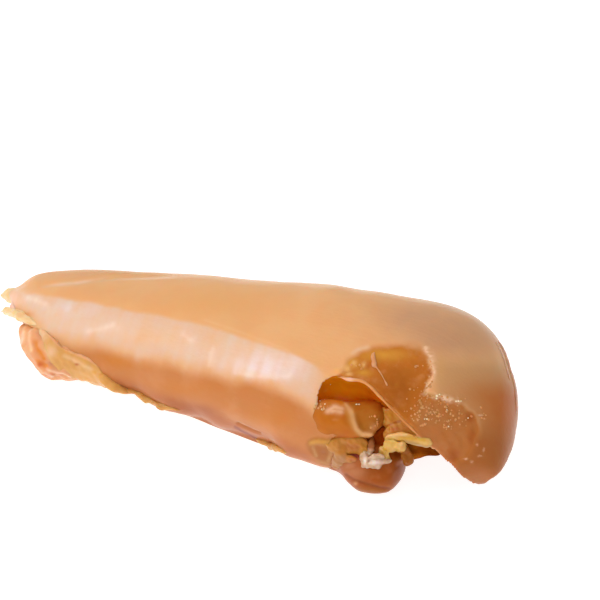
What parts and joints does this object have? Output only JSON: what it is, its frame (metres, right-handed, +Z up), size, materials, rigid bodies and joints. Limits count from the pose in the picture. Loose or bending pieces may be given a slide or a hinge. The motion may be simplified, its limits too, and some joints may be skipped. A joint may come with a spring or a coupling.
{
  "type": "raw chicken breast",
  "caption": "Raw boneless, skinless chicken breast half on its rib side: a smooth loaf of pale meat with a torn pocket at the thick end and its inner fillet underneath.",
  "frame": {"origin": "on the flat underside, at the middle of the part's box seen from above", "axes": "+X along the breast towards its thick neck end, +Z up out of the flat underside, -Y towards the front side with the torn pocket"},
  "size_m": [0.1945, 0.0709, 0.043],
  "materials": {
    "meat": "satin",
    "inner_meat": "satin",
    "bare_meat": "gloss",
    "fat": "satin",
    "tissue": "gloss"
  },
  "bodies": {
    "root": {"big_muscle": "meat", "inner_fillet": "inner_meat", "pocket_fold": "bare_meat", "rim_fat": "fat", "tip_fat": "fat", "tip_strip": "fat", "fat_finger": "fat", "fat_stub": "fat", "fat_drop": "fat", "torn_tissue": "tissue", "edge_shred_left": "fat", "edge_shred_right": "fat"}
  },
  "joints": []
}
